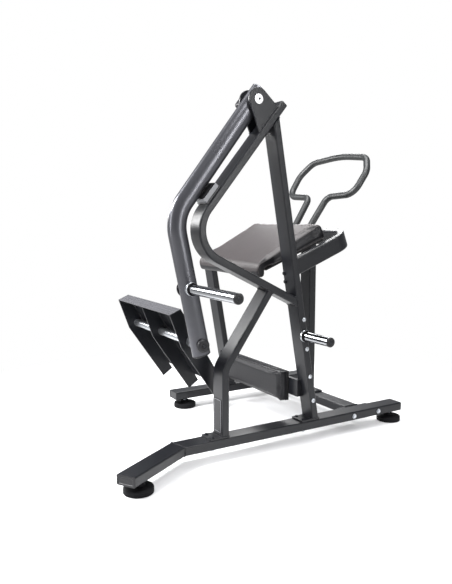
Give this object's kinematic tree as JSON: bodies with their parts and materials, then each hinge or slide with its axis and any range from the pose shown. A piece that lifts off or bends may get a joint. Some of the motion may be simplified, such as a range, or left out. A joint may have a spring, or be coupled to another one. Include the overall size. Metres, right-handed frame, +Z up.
{
  "type": "rear kick machine",
  "caption": "Plate-loaded rear kick leg machine: steel frame with loop side frame, swinging oval lever with foot plate and weight horn, chest pad and loop handle.",
  "frame": {"origin": "centre of the overall bounding box in plan, on the floor", "axes": "+Z up, +X the way the user faces, towards the handle; -Y the side that carries the lever"},
  "size_m": [1.8921, 1.417, 1.8838],
  "materials": {
    "frame_powder_coat": "satin black powder coat",
    "arm_powder_coat": "metallic graphite powder coat",
    "chrome": "polished chrome plate",
    "zinc_steel": "bright zinc plate",
    "black_rubber": "matt moulded rubber",
    "black_plastic": "fine grained moulded plastic",
    "grey_polymer": "cast grey polymer",
    "grip_coat": "matt textured coat",
    "upholstery": "soft grained synthetic leather",
    "shin_upholstery": "soft grained synthetic leather",
    "board": "black painted plywood"
  },
  "bodies": {
    "frame": {"near_base_beam": "frame_powder_coat", "near_base_outrigger": "frame_powder_coat", "near_rear_end_cap": "black_plastic", "far_base_beam": "frame_powder_coat", "near_front_end_cap": "black_plastic", "far_front_end_cap": "black_plastic", "far_rear_end_cap": "black_plastic", "cross_beam": "frame_powder_coat", "cross_beam_flange_near": "frame_powder_coat", "cross_beam_flange_far": "frame_powder_coat", "near_rear_foot": "black_rubber", "near_front_foot": "black_rubber", "far_front_foot": "black_rubber", "far_rear_foot": "black_rubber", "near_post": "frame_powder_coat", "far_post": "frame_powder_coat", "far_post_cap": "black_plastic", "near_post_base_plate": "frame_powder_coat", "far_post_base_plate": "frame_powder_coat", "near_rear_leg": "frame_powder_coat", "near_rear_leg_base_plate": "frame_powder_coat", "rear_leg_panel": "black_plastic", "loop_frame": "frame_powder_coat", "loop_top_cap": "black_plastic", "near_pivot_plate": "frame_powder_coat", "far_pivot_plate": "frame_powder_coat", "pivot_shaft": "zinc_steel", "pivot_cap": "zinc_steel", "pivot_end_housing": "black_plastic", "bumper_bracket": "frame_powder_coat", "bumper_block": "grey_polymer", "bumper_rubber": "black_rubber", "storage_horn": "chrome", "storage_horn_end_cap": "black_plastic", "seat_rail": "frame_powder_coat", "column": "frame_powder_coat", "column_base_plate": "frame_powder_coat", "rail_wedge": "frame_powder_coat", "handle": "grip_coat", "upper_pad": "upholstery", "upper_pad_board": "board", "pad_arm": "frame_powder_coat", "shin_pad": "shin_upholstery", "shin_pad_board": "board", "shin_pad_bracket_near": "frame_powder_coat", "shin_pad_bracket_far": "frame_powder_coat"},
    "lever": {"lever_tube": "arm_powder_coat", "lever_top_cap": "arm_powder_coat", "lever_end_plug": "black_plastic", "lever_hub": "zinc_steel", "weight_horn": "chrome", "weight_horn_end_cap": "black_plastic", "weight_horn_washer": "black_plastic", "foot_plate_tread": "frame_powder_coat", "foot_plate_rib_near": "frame_powder_coat", "foot_plate_rib_middle": "frame_powder_coat", "foot_plate_rib_far": "frame_powder_coat", "foot_plate_shaft": "chrome", "foot_plate_shaft_cap": "black_plastic"}
  },
  "joints": [
    {"name": "lever_swing", "type": "hinge", "parent": "frame", "child": "lever", "pos_m": [-0.117, -0.2455, 1.803], "axis": [0, 1, 0], "range_deg": [0, 52]}
  ]
}
